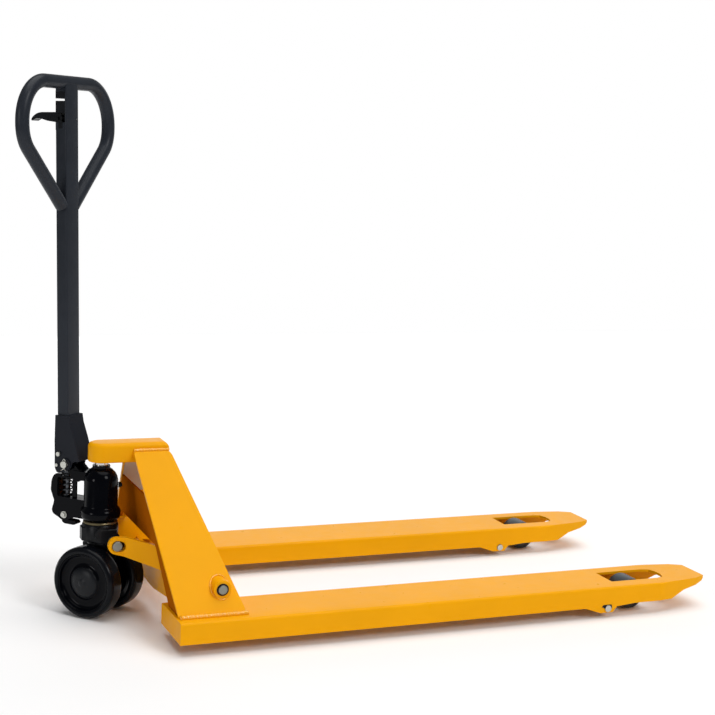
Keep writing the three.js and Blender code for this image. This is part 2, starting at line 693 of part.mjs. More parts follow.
function buildBracket() {
  const cheekShape = rounded([
    [-27, 109, 2], [9, 109, 2], [12, 90, 4], [23, 58, 6], [31, 30, 6], [37, 9, 3], [18, 6, 6], [14, -8, 6],
    [4, -15, 6], [-8, -19, 6], [-24, -22, 6], [-30, -10, 6], [-29.5, 17, 4], [-29.5, 51, 4],
  ], 4);
  const half = POST_WIDTH / 2;
  const near = prismY(cheekShape, -half - 4, -half - GAP, 3);
  const far = prismY(cheekShape, half + GAP, half + 4, 3);
  const front = prismY(outline([
    [5, 109], [9, 109], [12, 90], [23, 58], [31, 30], [37, 9], [32, 9], [26, 29], [18, 57], [7.5, 88],
    [4.6, 100],
  ]), -half - 4, half + 4);
  const ring = [-1, 1].map((s) => {
    const y0 = s < 0 ? -half - 7 : half + 3;
    return cylinderY(13.5, 0, 0, y0, y0 + 4, 32);
  });
  const body = unite(near, far, front, ...ring);
  return cut(
    body,
    cylinderY(HANDLE_PIN_R + GAP, 0, 0, -60, 60, 24),
    cylinderY(4.3, -24, -4, -60, 60, 16),
    cylinderY(3.3, -17, 22, -60, 60, 12),
  );
}

function buildHandlePin() {
  const half = POST_WIDTH / 2 + 13;
  const pin = cylinderY(HANDLE_PIN_R, 0, 0, -half, half, 24);
  return pin.subtract(cylinderX(1.8, -half + 3.5, 0, -20, 20, 8));
}

function buildCamRoller() {
  const roller = cylinderY(9, -24, -4, -7, 7, 28);
  return roller.add(cylinderY(4, -24, -4, -29, 29, 16));
}

// Loop centreline: straight legs, round shoulders and a straight bar across the top.
function loopCurve() {
  const path = new THREE.CurvePath();
  const foot = new THREE.Vector2(6, 556);
  const legTop = new THREE.Vector2(136, 694);
  const wide = new THREE.Vector2(LOOP_HALF_W, 746);
  const barEnd = new THREE.Vector2(BAR_HALF_L, BAR_H);
  const at = (v, s) => new THREE.Vector3(POST_P, s * v.x, v.y);
  const kneeIn = new THREE.Vector2(LOOP_HALF_W, 714);
  const shoulder = new THREE.Vector2(LOOP_HALF_W + 1, 799);
  const shoulder2 = new THREE.Vector2(116, BAR_H);
  path.add(new THREE.LineCurve3(at(foot, -1), at(legTop, -1)));
  path.add(new THREE.QuadraticBezierCurve3(at(legTop, -1), at(kneeIn, -1), at(wide, -1)));
  path.add(new THREE.CubicBezierCurve3(at(wide, -1), at(shoulder, -1), at(shoulder2, -1), at(barEnd, -1)));
  path.add(new THREE.LineCurve3(at(barEnd, -1), at(barEnd, 1)));
  path.add(new THREE.CubicBezierCurve3(at(barEnd, 1), at(shoulder2, 1), at(shoulder, 1), at(wide, 1)));
  path.add(new THREE.QuadraticBezierCurve3(at(wide, 1), at(kneeIn, 1), at(legTop, 1)));
  path.add(new THREE.LineCurve3(at(legTop, 1), at(foot, 1)));
  return path;
}

function loopTube(r, segments) {
  const section = new THREE.Shape();
  section.absarc(0, 0, r, 0, Math.PI * 2, false);
  const g = new THREE.ExtrudeGeometry(section, {
    steps: segments, curveSegments: 6, bevelEnabled: false, extrudePath: loopCurve(),
  });
  return toSolid(g);
}

function buildLoop() {
  const half = POST_WIDTH / 2 + GAP;
  const d = POST_DEPTH / 2 + GAP;
  return loopTube(LOOP_R, 46)
    .subtract(box(POST_P - d - 10, POST_P + d + 10, -half, half, 540, 780));
}

function buildPost() {
  const hw = POST_WIDTH / 2;
  const hd = POST_DEPTH / 2;
  const top = BAR_H - 3;
  const outer = prismZ(rounded([
    [POST_P - hd, -hw], [POST_P + hd, -hw], [POST_P + hd, hw], [POST_P - hd, hw],
  ], 3), 19, top, 3);
  const w = POST_WALL;
  const inner = box(POST_P - hd + w, POST_P + hd - w, -hw + w, hw - w, 10, top + 5);
  const barTop = cylinderY(LOOP_R + GAP, POST_P, BAR_H, -60, 60, 24);
  const slot = box(POST_P - hd - 5, POST_P + hd - 4, -hw - 5, hw + 5, 735, 817);
  return cut(outer, inner, barTop, slot);
}

function buildStopBlock() {
  const hd = POST_DEPTH / 2;
  return box(POST_P - hd + 3.3, POST_P + hd - 4.3, -17.5, 17.5, 802, 820.5);
}

function buildLeverGuide() {
  const hd = POST_DEPTH / 2;
  return box(POST_P - hd + 1, POST_P + hd - 4.3, -17.5, 17.5, 776, 797);
}

function buildLever() {
  const hub = cylinderY(10.5, -21.5, 760, -16, 16, 32);
  const arm = prismY(rounded([
    [-21, 773.5, 1], [-21, 750, 1], [-38, 752.5, 4], [-55, 754.6, 6], [-72.5, 759.5, 8], [-84, 760.5, 6],
    [-92.5, 756, 3], [-96.5, 754.4, 1.5], [-98, 758, 3], [-94, 763.6, 6], [-84, 770.5, 6], [-72.5, 773.3, 6],
  ], 5), -11, 11, 3);
  const tongue = box(-26, -18, -9, 9, 739, 755);
  return unite(hub, arm, tongue).subtract(cylinderY(3.3, -21.5, 760, -30, 30, 16));
}

function buildLeverPin() {
  return cylinderY(3, -21.5, 760, -POST_WIDTH / 2 + 1, POST_WIDTH / 2 - 1, 16);
}

function buildPullRod() {
  return cylinderZ(2.5, POST_P - 3, 0, 24, 738, 10);
}

function buildBracketScrew(b, side) {
  const y0 = side < 0 ? -b - 6 : b;
  const head = cylinderY(5.5, -17, 22, y0, y0 + 6, 6);
  const shankStart = side < 0 ? -b - 1 : b - 4;
  return head.add(cylinderY(3, -17, 22, shankStart, shankStart + 5, 12));
}

// ---- assembly ----

for (const [tag, side] of [['near', -1], ['far', 1]]) {
  addNode(root, `fork_${tag}`, buildFork(side), YELLOW);
  addNode(root, `tower_plate_${tag}`, buildTowerPlate(side), YELLOW);
  addNode(root, `tower_boss_${tag}`, buildTowerBoss(side), YELLOW);
  addNode(root, `rocker_pin_${tag}`, buildRockerPin(side), STEEL);
  addNode(root, `leg_${tag}`, buildLeg(side), YELLOW);
  addNode(root, `leg_pin_${tag}`, buildLegPin(side), STEEL);
  addNode(root, `load_roller_${tag}`, buildRoller(side), ROLLER_GREY);
  addNode(root, `roller_axle_${tag}`, buildRollerAxle(side), STEEL);
  addNode(root, `push_rod_${tag}`, buildPushRod(side), STEEL);
  addNode(root, `stub_pin_${tag}`, buildStub(side), STEEL);
}
addNode(root, 'crosshead', buildCrosshead(), YELLOW);
addNode(root, 'cross_panel', buildCrossPanel(), YELLOW);
addNode(root, 'lift_ram', buildRam(), STEEL);
addNode(root, 'base_block', buildBaseBlock(), PUMP_BLACK);
addNode(root, 'thrust_ring', buildThrustRing(), BRASS);
addNode(root, 'rocker', buildRocker(), YELLOW);

const head = new THREE.Group();
head.name = 'steering_head';
head.position.set(KINGPIN_X, 0, 0);
head.rotation.z = THREE.MathUtils.degToRad(STEER_REST_DEG);
root.add(head);

addNode(head, 'axle_carrier', buildAxleCarrier(), PUMP_BLACK);
addNode(head, 'wheel_axle', buildAxle(), STEEL);
for (const [tag, side] of [['near', -1], ['far', 1]]) {
  addNode(head, `tyre_${tag}`, buildTyre(side), WHEEL_BLACK);
  addNode(head, `wheel_centre_${tag}`, buildWheelCentre(side), WHEEL_BLACK);
  addNode(head, `wheel_bearing_${tag}`, buildBearing(side), STEEL);
  addNode(head, `hub_cap_${tag}`, buildHubCap(side), WHEEL_BLACK);
}
addNode(head, 'pump_body', buildPumpBody(), PUMP_BLACK);
addNode(head, 'pump_plunger', buildPlunger(), STEEL);
addNode(head, 'plunger_spring', buildPlungerSpring(), SPRING_STEEL);
addNode(head, 'oil_plug', buildOilPlug(), PUMP_BLACK);
addNode(head, 'relief_plug_upper', buildReliefPlug(283), PUMP_BLACK);
addNode(head, 'relief_plug_lower', buildReliefPlug(261), PUMP_BLACK);
addNode(head, 'release_arm', buildReleaseArm(), PUMP_BLACK);
addNode(head, 'valve_screw', buildValveScrew(), STEEL);

const handle = new THREE.Group();
handle.name = 'handle_frame';
handle.position.set(PIVOT_A, 0, PIVOT_Z);
handle.rotation.y = THREE.MathUtils.degToRad(-HANDLE_LEAN_DEG);
head.add(handle);

addNode(handle, 'handle_bracket', buildBracket(), CHARCOAL);
addNode(handle, 'handle_pin', buildHandlePin(), STEEL);
addNode(handle, 'cam_roller', buildCamRoller(), STEEL);
addNode(handle, 'bracket_screw_near', buildBracketScrew(POST_WIDTH / 2 + 4.3, -1), STEEL);
addNode(handle, 'bracket_screw_far', buildBracketScrew(POST_WIDTH / 2 + 4.3, 1), STEEL);
addNode(handle, 'handle_post', buildPost(), CHARCOAL);
addNode(handle, 'handle_loop', buildLoop(), CHARCOAL);
addNode(handle, 'lever_stop', buildStopBlock(), LEVER_BLACK);
addNode(handle, 'lever_guide', buildLeverGuide(), LEVER_BLACK);
addNode(handle, 'release_lever', buildLever(), LEVER_BLACK);
addNode(handle, 'lever_pin', buildLeverPin(), STEEL);
addNode(handle, 'pull_rod', buildPullRod(), SPRING_STEEL);

root.position.x = ORIGIN_SHIFT_X;
root.updateMatrixWorld(true);

export default root;
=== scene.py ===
"""Looks for a hand pallet truck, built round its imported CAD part.

Metres, +Z up, floor at Z = 0, forks along +X. Outlines are written in millimetres, and mm() turns them
into metres. The steering head is turned to one side, so its pieces are placed in a frame of their own.
"""

import math

import bmesh
import bpy
from mathutils import Matrix, Vector


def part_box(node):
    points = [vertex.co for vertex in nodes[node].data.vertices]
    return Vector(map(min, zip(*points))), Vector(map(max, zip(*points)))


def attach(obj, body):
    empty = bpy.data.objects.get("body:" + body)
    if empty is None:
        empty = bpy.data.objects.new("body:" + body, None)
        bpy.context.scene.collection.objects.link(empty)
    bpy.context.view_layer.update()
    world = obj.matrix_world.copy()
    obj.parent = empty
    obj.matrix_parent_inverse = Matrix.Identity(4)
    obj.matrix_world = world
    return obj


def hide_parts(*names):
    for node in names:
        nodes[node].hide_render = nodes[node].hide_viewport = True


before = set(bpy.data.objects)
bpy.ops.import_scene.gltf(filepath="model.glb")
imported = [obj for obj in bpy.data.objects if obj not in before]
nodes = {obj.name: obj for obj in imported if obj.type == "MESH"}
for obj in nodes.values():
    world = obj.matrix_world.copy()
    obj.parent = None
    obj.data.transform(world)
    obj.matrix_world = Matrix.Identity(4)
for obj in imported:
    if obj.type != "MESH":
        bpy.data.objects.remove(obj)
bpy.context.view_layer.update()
scene = bpy.context.scene

SIDES = {"near": -1, "far": 1}


# ---- places, from the CAD nodes ----


def middle(node):
    """Centre of a CAD node's box."""
    low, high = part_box(node)
    return (low + high) / 2


# The drawing frame: outlines on the truck's frame are counted in millimetres from a point on the
# middle line that lies this far from the kingpin, towards the forks.
KINGPIN_BACK = 64.7
KINGPIN_X = middle("thrust_ring").x
DRAWING_X = KINGPIN_X + KINGPIN_BACK / 1000
DRAWING = Matrix.Translation((DRAWING_X, 0, 0))

# The head frame stands on the kingpin and turns with the pump. The handle frame is on the handle's pin.
HEAD_TURN = math.radians(-48.2)
HANDLE_LEAN = math.radians(-1.57)
HANDLE_PIN_X = -0.078
KINGPIN = Matrix.Translation((KINGPIN_X, 0, 0))
HEAD = KINGPIN @ Matrix.Rotation(HEAD_TURN, 4, "Z")
HANDLE_PIN = Matrix.Translation((HANDLE_PIN_X, 0, middle("handle_pin").z))
HANDLE = HEAD @ HANDLE_PIN @ Matrix.Rotation(HANDLE_LEAN, 4, "Y")


def mm(points):
    return [tuple(value / 1000 for value in point) for point in points]


# ---- materials ----

# noise values between which the colour and the roughness drift
TINT_BAND = (0.3, 0.7)
HAZE_BAND = (0.3, 0.72)


def principled(name, base, rough, metallic=0.0, coat=0.0, coat_rough=0.1, specular=0.5):
    mat = bpy.data.materials.new(name)
    mat.use_nodes = True
    shader = mat.node_tree.nodes["Principled BSDF"]
    shader.inputs["Base Color"].default_value = (*base, 1)
    shader.inputs["Roughness"].default_value = rough
    shader.inputs["Metallic"].default_value = metallic
    shader.inputs["Coat Weight"].default_value = coat
    shader.inputs["Coat Roughness"].default_value = coat_rough
    shader.inputs["Specular IOR Level"].default_value = specular
    return mat, shader


def noise(mat, scale, detail):
    tree = mat.node_tree
    coord = tree.nodes.new("ShaderNodeTexCoord")
    texture = tree.nodes.new("ShaderNodeTexNoise")
    texture.inputs["Scale"].default_value = scale
    texture.inputs["Detail"].default_value = detail
    texture.inputs["Roughness"].default_value = 0.55
    tree.links.new(coord.outputs["Object"], texture.inputs["Vector"])
    return texture


def ramp(mat, source, band, low, high):
    """Turns the noise into a colour that runs from low to high across the band."""
    node = mat.node_tree.nodes.new("ShaderNodeValToRGB")
    for element, position, colour in zip(node.color_ramp.elements, band, (low, high)):
        element.position = position
        element.color = (*colour, 1)
    mat.node_tree.links.new(source.outputs["Fac"], node.inputs["Fac"])
    return node


def vary(mat, shader, base, spread, scale, rough_range, rough_scale):
    """Slow drift of the colour and finer drift of the roughness."""
    links = mat.node_tree.links
    darker = tuple(value * (1 - spread) for value in base)
    lighter = tuple(min(1, value * (1 + spread)) for value in base)
    tint = ramp(mat, noise(mat, scale, detail=4), TINT_BAND, darker, lighter)
    links.new(tint.outputs["Color"], shader.inputs["Base Color"])
    smooth, dull = ((value,) * 3 for value in rough_range)
    haze = ramp(mat, noise(mat, rough_scale, detail=5), HAZE_BAND, smooth, dull)
    links.new(haze.outputs["Color"], shader.inputs["Roughness"])


def bump(mat, shader, height, strength, distance):
    node = mat.node_tree.nodes.new("ShaderNodeBump")
    node.inputs["Strength"].default_value = strength
    node.inputs["Distance"].default_value = distance
    mat.node_tree.links.new(height.outputs["Fac"], node.inputs["Height"])
    mat.node_tree.links.new(node.outputs["Normal"], shader.inputs["Normal"])


def painted(name, base, rough, coat=0.0, spread=0.05, peel=0.05, peel_scale=320, specular=0.5):
    """Paint or moulded plastic, with a fine uneven skin of strength peel."""
    mat, shader = principled(name, base, rough, coat=coat, coat_rough=0.08, specular=specular)
    vary(mat, shader, base, spread, scale=5, rough_range=(rough * 0.85, rough * 1.25), rough_scale=40)
    bump(mat, shader, noise(mat, peel_scale, detail=2), strength=peel, distance=0.0004)
    return mat


def metal(name, base, rough):
    """Bare or plated metal with a fine grain."""
    mat, shader = principled(name, base, rough, metallic=1.0)
    vary(mat, shader, base, spread=0.12, scale=30, rough_range=(rough * 0.7, rough * 1.4), rough_scale=120)
    bump(mat, shader, noise(mat, scale=600, detail=3), strength=0.08, distance=0.0003)
    return mat


YELLOW = painted("yellow_paint", (0.90, 0.390, 0.001), 0.32, 0.045, spread=0.035, peel=0.03, specular=0.05)
YELLOW_ROUGH = painted("yellow_weld", (0.90, 0.39, 0.002), 0.18, 0.5, peel=0.25, peel_scale=900)
# yellow paint darkened and reddened into painted shade, for the cross panel deep inside the tower
YELLOW_PAINTED_SHADE = painted("yellow_painted_shade", (0.38, 0.095, 0.002), 0.90, spread=0.10, peel=0.08, specular=0.0)
CHARCOAL = painted("charcoal_paint", (0.020, 0.024, 0.032), 0.34, spread=0.12, peel=0.10, specular=0.18)
BLACK = painted("black_paint", (0.0010, 0.0013, 0.0026), 0.12, spread=0.2, specular=0.08)
CHARCOAL_DEEP = painted(
    "charcoal_bracket", (0.010, 0.012, 0.018), 0.34, spread=0.12, peel=0.10, specular=0.14
)
CAST = painted(
    "black_casting", (0.0040, 0.0046, 0.0060), 0.30, spread=0.2, peel=0.35, peel_scale=700, specular=0.16
)
TYRE = painted("black_tyre", (0.0030, 0.0036, 0.0052), 0.20, spread=0.2, peel=0.04, specular=0.12)
ROLLER = painted("grey_nylon", (0.030, 0.040, 0.046), 0.42, spread=0.15, peel=0.15)
PLASTIC = painted(
    "black_plastic", (0.005, 0.006, 0.008), 0.30, spread=0.15, peel=0.2, peel_scale=1200, specular=0.18
)
STEEL = metal("zinc_steel", (0.56, 0.56, 0.52), 0.34)
PIN_STEEL = metal("dull_steel", (0.27, 0.28, 0.25), 0.40)
RAM = metal("ground_steel", (0.62, 0.62, 0.60), 0.20)
SPRING = metal("spring_steel", (0.10, 0.105, 0.115), 0.36)
BRASS = metal("dull_brass", (0.22, 0.18, 0.10), 0.5)
# pale colour painted as the light caught by the far plate's inner face
PALE_PAINTED_LIGHT = painted("pale_painted_light", (0.52, 0.45, 0.38), 0.40, spread=0.06, peel=0.02)


# ---- dressing CAD nodes ----

EDGE_ANGLE = math.radians(34)
FLAT_ANGLE = math.radians(0.4)


def dress(name, mat, edge_mm, segments):
    """Material for a CAD node, with its facets smoothed and its sharp edges rounded."""
    obj = nodes[name]
    obj.data.materials.clear()
    obj.data.materials.append(mat)
    if obj.data.attributes.get("custom_normal"):
        obj.data.attributes.remove(obj.data.attributes["custom_normal"])
    obj.data.polygons.foreach_set("use_smooth", [True] * len(obj.data.polygons))
    weld = obj.modifiers.new("weld", "WELD")
    weld.merge_threshold = 1e-5
    flat = obj.modifiers.new("flat", "DECIMATE")
    flat.decimate_type = "DISSOLVE"
    flat.angle_limit = FLAT_ANGLE
    edge = obj.modifiers.new("edge", "BEVEL")
    edge.width = edge_mm / 1000
    edge.segments = segments
    edge.limit_method = "ANGLE"
    edge.angle_limit = EDGE_ANGLE
    edge.harden_normals = True


# ---- making pieces ----


def piece(name, verts, faces, mat, body, matrix=DRAWING, sharp=35, replaces=()):
    mesh = bpy.data.meshes.new(name)
    mesh.from_pydata([tuple(v) for v in verts], [], faces)
    bm = bmesh.new()
    bm.from_mesh(mesh)
    bmesh.ops.remove_doubles(bm, verts=bm.verts, dist=1e-7)
    bmesh.ops.recalc_face_normals(bm, faces=bm.faces)
    bm.to_mesh(mesh)
    bm.free()
    mesh.polygons.foreach_set("use_smooth", [True] * len(mesh.polygons))
    mesh.set_sharp_from_angle(angle=math.radians(sharp))
    mesh.materials.append(mat)
    obj = bpy.data.objects.new(name, mesh)
    scene.collection.objects.link(obj)
    obj.matrix_world = matrix
    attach(obj, body)
    if replaces:
        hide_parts(*replaces)


def skin(rows, width, closed):
    """Faces between rows of width points each; closed joins the last row to the first."""
    faces = []
    for row in range(rows if closed else rows - 1):
        start, after = row * width, (row + 1) % rows * width
        for k in range(width):
            beside = (k + 1) % width
            faces.append((start + k, start + beside, after + beside, after + k))
    return faces


def end_caps(rows, width):
    return [list(range(width)), list(range((rows - 1) * width, rows * width))]


# the most that a rounded corner takes of each line next to it, and the steps in it
CORNER_SHARE, CORNER_STEPS = 0.49, 4


def fillet(points):
    """Rounds the corners of a line of (x, y, radius) points; a radius of 0 and both ends stay sharp."""
    out = []
    for i, (x, y, radius) in enumerate(points):
        if radius <= 0 or i in (0, len(points) - 1):
            out.append((x, y))
            continue
        here = Vector((x, y))
        back = Vector(points[i - 1][:2]) - here
        ahead = Vector(points[i + 1][:2]) - here
        reach = min(radius, back.length * CORNER_SHARE, ahead.length * CORNER_SHARE)
        a = here + back.normalized() * reach
        b = here + ahead.normalized() * reach
        for k in range(CORNER_STEPS + 1):
            t = k / CORNER_STEPS
            p = a * (1 - t) ** 2 + here * 2 * t * (1 - t) + b * t ** 2
            out.append((p.x, p.y))
    return out


def lathe(name, profile, mat, body, matrix, sides, **more):
    """Turns (radius, height) points about the matrix's Y axis.

    The profile of a ring ends where it starts, and that of a solid starts and ends on the axis.
    """
    closed = profile[0] == profile[-1]
    rows = profile[:-1] if closed else profile
    verts = []
    for radius, height in rows:
        for k in range(sides):
            t = 2 * math.pi * k / sides
            verts.append((radius * math.cos(t), height, radius * math.sin(t)))
    piece(name, verts, skin(len(rows), sides, closed), mat, body, matrix, **more)


def tube(name, points, radius, mat, body, matrix, sides, closed=False, **more):
    """Round tube along points; radius is a number or one per point."""
    pts = [Vector(p) for p in points]
    count = len(pts)
    radii = radius if isinstance(radius, list) else [radius] * count
    verts = []
    across = None
    for i, p in enumerate(pts):
        before = pts[i - 1] if closed or i else p
        after = pts[(i + 1) % count] if closed or i < count - 1 else p
        along = (after - before).normalized()
        if across is None:
            across = along.orthogonal().normalized()
        across = (across - along * across.dot(along)).normalized()
        other = along.cross(across)
        for k in range(sides):
            t = 2 * math.pi * k / sides
            verts.append(p + (across * math.cos(t) + other * math.sin(t)) * radii[i])
    faces = skin(count, sides, closed)
    if not closed:
        faces += end_caps(count, sides)
    piece(name, verts, faces, mat, body, matrix, **more)


def loft(name, rings, mat, body, matrix=DRAWING, closed=False, **more):
    """Skin through equal rings; closed joins the last ring to the first, otherwise both ends are capped."""
    count, width = len(rings), len(rings[0])
    verts = [v for ring in rings for v in ring]
    faces = [] if closed else end_caps(count, width)
    faces += skin(count, width, closed)
    piece(name, verts, faces, mat, body, matrix, **more)


BEAD_PITCH, BEAD_END = 0.0022, 0.7


def bead(name, line_mm, body, radius, closed=False):
    """Weld bead: a thin tube along a polyline, its radius rippling in two slow waves."""
    line = [Vector(p) for p in mm(line_mm)]
    if closed:
        line.append(line[0])
    pts, radii = [], []
    for a, b in zip(line, line[1:]):
        steps = max(2, int((b - a).length / BEAD_PITCH))
        for k in range(steps):
            step = len(pts)
            pts.append(a.lerp(b, k / steps))
            radii.append(radius * (1 + 0.16 * math.sin(step * 2.1) + 0.08 * math.sin(step * 0.7 + 1)))
    if not closed:
        pts.append(line[-1])
        radii.append(radius * BEAD_END)
        radii[0] = radius * BEAD_END
    tube(name, pts, radii, YELLOW_ROUGH, body, DRAWING, sides=8, closed=closed, sharp=80)


def block(name, low, high, mat, body, matrix, round_by):
    """Box between two corners in millimetres, with bevelled edges."""
    bm = bmesh.new()
    bmesh.ops.create_cube(bm, size=1)
    for v in bm.verts:
        v.co = Vector([(a if value < 0 else b) / 1000 for value, a, b in zip(v.co, low, high)])
    bmesh.ops.bevel(bm, geom=list(bm.edges), offset=round_by, segments=2, affect="EDGES")
    verts = [v.co.copy() for v in bm.verts]
    bm.verts.index_update()
    faces = [[v.index for v in f.verts] for f in bm.faces]
    bm.free()
    piece(name, verts, faces, mat, body, matrix)


# ---- frame of the truck ----

for tag in SIDES:
    dress(f"fork_{tag}", YELLOW, 1.6, 3)
    dress(f"tower_plate_{tag}", YELLOW, 1.2, 2)
    dress(f"tower_boss_{tag}", YELLOW, 1.6, 2)
    dress(f"leg_{tag}", YELLOW, 1.0, 2)
    dress(f"rocker_pin_{tag}", PIN_STEEL, 1.2, 2)
    dress(f"leg_pin_{tag}", STEEL, 1.0, 2)
    dress(f"roller_axle_{tag}", STEEL, 0.8, 2)
    dress(f"push_rod_{tag}", STEEL, 0.8, 2)
    dress(f"stub_pin_{tag}", PIN_STEEL, 1.4, 2)
# the cross panel gets the darkened yellow: painted shade
dress("cross_panel", YELLOW_PAINTED_SHADE, 1.0, 2)
dress("rocker", YELLOW, 1.6, 3)
dress("lift_ram", RAM, 0.6, 2)
dress("base_block", CAST, 1.6, 3)
dress("thrust_ring", BRASS, 0.4, 1)

# The side plates lean in from the fork tops to the crosshead. All in millimetres.
FOOT_Y, FOOT_Z = 312, 72.5
TOP_Y, TOP_Z = 40, 370
PLATE_SLOPE = (FOOT_Y - TOP_Y) / (TOP_Z - FOOT_Z)

# where the weld beads run
FOOT_WELD_X, FOOT_WELD_Z, FOOT_WELD_OUT = (34, 183), 74.6, 3.2
PLATE_BOTTOM_Z = 73
TOP_WELD_X, TOP_WELD_Y, TOP_WELD_Z = (-1, 80), 32.5, 372
BOSS_X, BOSS_Z, BOSS_WELD_R, BOSS_WELD_OUT, BOSS_WELD_STEPS = 133, 121, 21.2, 0.8, 28
PANEL_WELD_X, PANEL_WELD_Z, PANEL_WELD_IN, PANEL_LEAN = 36.5, (80, 280), 12.4, 0.1197

# The bead on the rocker's arm, which spreads outwards from its rear end to the rocker pin.
ARM_REAR_X, ARM_REAR_Y, ARM_SPREAD = -30.5, 74, 130
ARM_WELD_X, ARM_WELD_Z = 112, (128, 112)
ARM_WELD_Y = ARM_REAR_Y + ARM_SPREAD / (BOSS_X - ARM_REAR_X) * (ARM_WELD_X - ARM_REAR_X)


def plate_y(z, out=0.0):
    """Distance from the middle to the side plate's outer face at height z, moved out by out."""
    return FOOT_Y + out - PLATE_SLOPE * (z - FOOT_Z)


def boss_weld(side):
    ring = []
    for k in range(BOSS_WELD_STEPS):
        t = 2 * math.pi * k / BOSS_WELD_STEPS
        z = BOSS_Z + BOSS_WELD_R * math.sin(t)
        ring.append((BOSS_X + BOSS_WELD_R * math.cos(t), side * plate_y(z, BOSS_WELD_OUT), z))
    return ring


def panel_weld(side):
    line = []
    for z in PANEL_WELD_Z:
        x = PANEL_WELD_X - PANEL_LEAN * (z - FOOT_Z)
        line.append((x, side * plate_y(z, -PANEL_WELD_IN), z))
    return line


for tag, side in SIDES.items():
    foot_y = side * plate_y(PLATE_BOTTOM_Z, FOOT_WELD_OUT)
    foot = [(x, foot_y, FOOT_WELD_Z) for x in FOOT_WELD_X]
    top = [(x, side * TOP_WELD_Y, TOP_WELD_Z) for x in TOP_WELD_X]
    arm = [(ARM_WELD_X, side * ARM_WELD_Y, z) for z in ARM_WELD_Z]
    bead(f"weld_foot_{tag}", foot, "chassis", radius=0.0058)
    bead(f"weld_top_{tag}", top, "chassis", radius=0.0040)
    bead(f"weld_boss_{tag}", boss_weld(side), "chassis", radius=0.0020, closed=True)
    bead(f"weld_panel_{tag}", panel_weld(side), "chassis", radius=0.0022)
    bead(f"weld_arm_{tag}", arm, "rocker", radius=0.0024)

# Crosshead: a beam with a round nose over the pump, hollow from below, with well rounded edges, and
# its top falling off towards the forks.
HEAD_HALF, HEAD_LOW, HEAD_HIGH, HEAD_FRONT, NOSE_X = 30, 344.5, 388, 81, -KINGPIN_BACK
HEAD_LOW_R, HEAD_HIGH_R, HEAD_CORNER = 4, 9, 2
HEAD_INSIDE, HEAD_CEILING = 7, 364.5
HEAD_FALL_X, HEAD_FALL = 70, 0.09
HEAD_SIDE_X = (45, 0)
NOSE_STEPS = 36


def head_ring(inset, z):
    half = HEAD_HALF - inset
    front = HEAD_FRONT - inset
    pts = [(front, -half + HEAD_CORNER), (front, 0), (front, half - HEAD_CORNER), (front - HEAD_CORNER, half)]
    pts += [(x, half) for x in HEAD_SIDE_X]
    for k in range(NOSE_STEPS + 1):
        t = math.pi * (0.5 + k / NOSE_STEPS)
        pts.append((NOSE_X + half * math.cos(t), half * math.sin(t)))
    pts += [(x, -half) for x in reversed(HEAD_SIDE_X)]
    pts.append((front - HEAD_CORNER, -half))
    return mm((x, y, min(z, HEAD_HIGH - max(0, x - HEAD_FALL_X) ** 2 * HEAD_FALL)) for x, y in pts)


def quarter(steps):
    """Cosine and sine at equal steps of a quarter turn."""
    turns = [math.pi / 2 * k / steps for k in range(steps + 1)]
    return [(math.cos(turn), math.sin(turn)) for turn in turns]


rings = [head_ring(HEAD_INSIDE, HEAD_CEILING), head_ring(HEAD_INSIDE, HEAD_LOW)]
for cosine, sine in quarter(4):
    rings.append(head_ring(HEAD_LOW_R * (1 - sine), HEAD_LOW + HEAD_LOW_R * (1 - cosine)))
for cosine, sine in quarter(7):
    rings.append(head_ring(HEAD_HIGH_R * (1 - cosine), HEAD_HIGH - HEAD_HIGH_R * (1 - sine)))
loft("crosshead_shell", rings, YELLOW, "chassis", sharp=50, replaces=["crosshead"])

# Six-sided collar round the base block, with a six-sided bore.
COLLAR_REAR, COLLAR_SIDE = 43.5, 46.4
COLLAR = [
    (-COLLAR_REAR, -10), (-COLLAR_REAR, 10), (-9, COLLAR_SIDE), (27, COLLAR_SIDE), (27, -COLLAR_SIDE),
    (-9, -COLLAR_SIDE),
]
COLLAR_LOW, COLLAR_HIGH, COLLAR_EDGE, COLLAR_BORE = 168, 199, 1.6, 38
COLLAR_SMALL = 1 - COLLAR_EDGE / COLLAR_REAR


def collar_ring(scale, z):
    return mm((x * scale, y * scale, z) for x, y in COLLAR)


def bore_ring(z):
    return mm((x / math.hypot(x, y) * COLLAR_BORE, y / math.hypot(x, y) * COLLAR_BORE, z) for x, y in COLLAR)


loft("base_collar", [
    bore_ring(COLLAR_LOW),
    collar_ring(COLLAR_SMALL, COLLAR_LOW),
    collar_ring(1, COLLAR_LOW + COLLAR_EDGE),
    collar_ring(1, COLLAR_HIGH - COLLAR_EDGE),
    collar_ring(COLLAR_SMALL, COLLAR_HIGH),
    bore_ring(COLLAR_HIGH),
], CAST, "base", KINGPIN, closed=True, sharp=30)

# ---- load rollers ----

# half of a roller's section, with a ring-shaped recess in its end face
ROLLER_HALF = [
    (8.3, 27, 0), (16, 27, 0.6), (17.5, 25.2, 0.6), (30, 25.2, 0.6), (31.5, 27, 0.6), (35.8, 27, 4),
]
roller_profile = [(radius, -height, corner) for radius, height, corner in ROLLER_HALF]
roller_profile += reversed(ROLLER_HALF)
roller_profile.append(roller_profile[0])

for tag in SIDES:
    lathe(f"roller_{tag}", mm(fillet(roller_profile)), ROLLER, f"roller_{tag}",
          Matrix.Translation(middle(f"roller_axle_{tag}")), 64, replaces=[f"load_roller_{tag}"])

# ---- steer wheels ----

